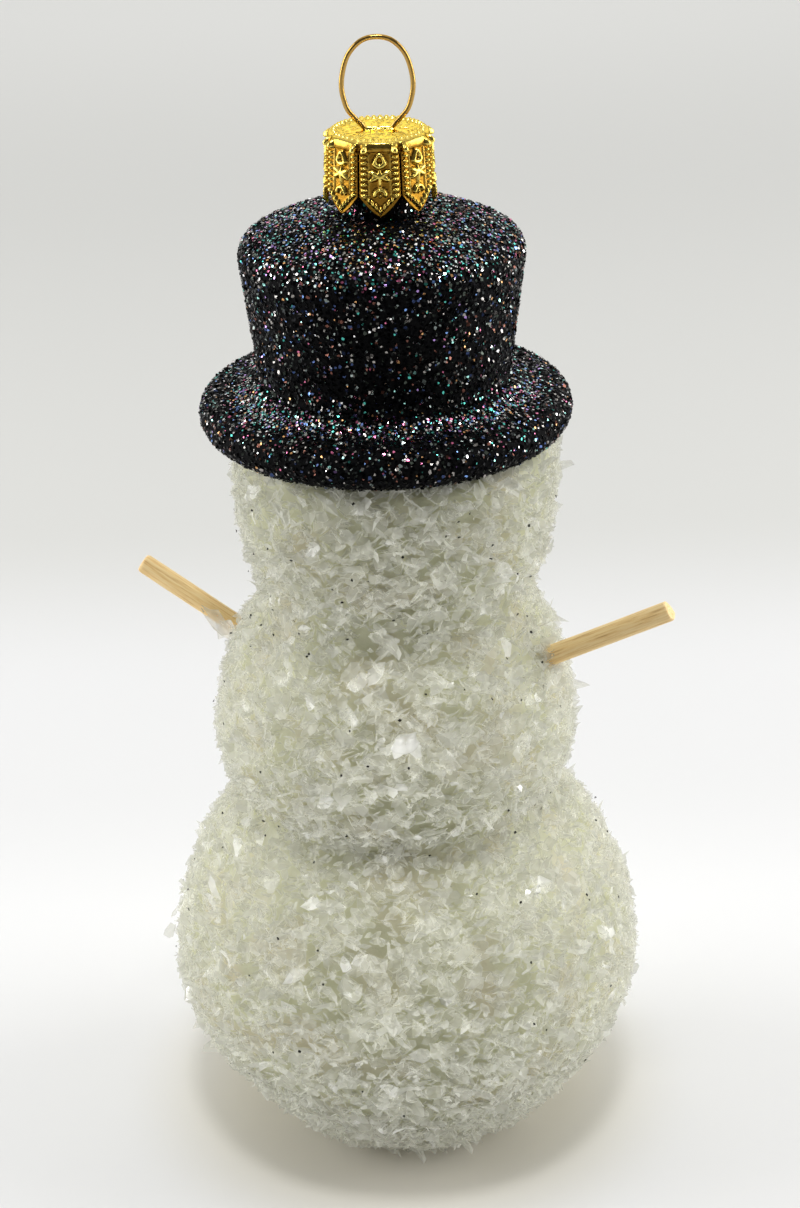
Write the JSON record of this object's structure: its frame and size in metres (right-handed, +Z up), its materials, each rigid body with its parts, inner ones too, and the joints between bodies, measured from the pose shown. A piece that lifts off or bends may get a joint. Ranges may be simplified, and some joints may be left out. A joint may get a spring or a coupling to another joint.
{
  "type": "snowman christmas ornament",
  "caption": "Blown-glass snowman bulb with a frosted flake skin, glitter top hat, stick arms, gold crown cap and wire hanging loop.",
  "frame": {"origin": "centre of the flat base, on the surface the ornament stands on", "axes": "+Z up through the hat and the hanging loop, +X along the right arm, -Y towards the side nearest the viewer"},
  "size_m": [0.0591, 0.0516, 0.1214],
  "materials": {
    "frosted_glass": "pale glass coated all over with clear snow flakes",
    "hat_glitter": "black glass coated with fine multicolour glitter",
    "gold_cap": "bright pressed gold-coloured sheet",
    "gold_wire": "bright drawn wire",
    "stick_wood": "bare pale wood"
  },
  "bodies": {
    "root": {"body": "frosted_glass", "hat": "hat_glitter", "cap": "gold_cap", "hanger": "gold_wire", "arm_left": "stick_wood", "arm_right": "stick_wood"}
  },
  "joints": []
}
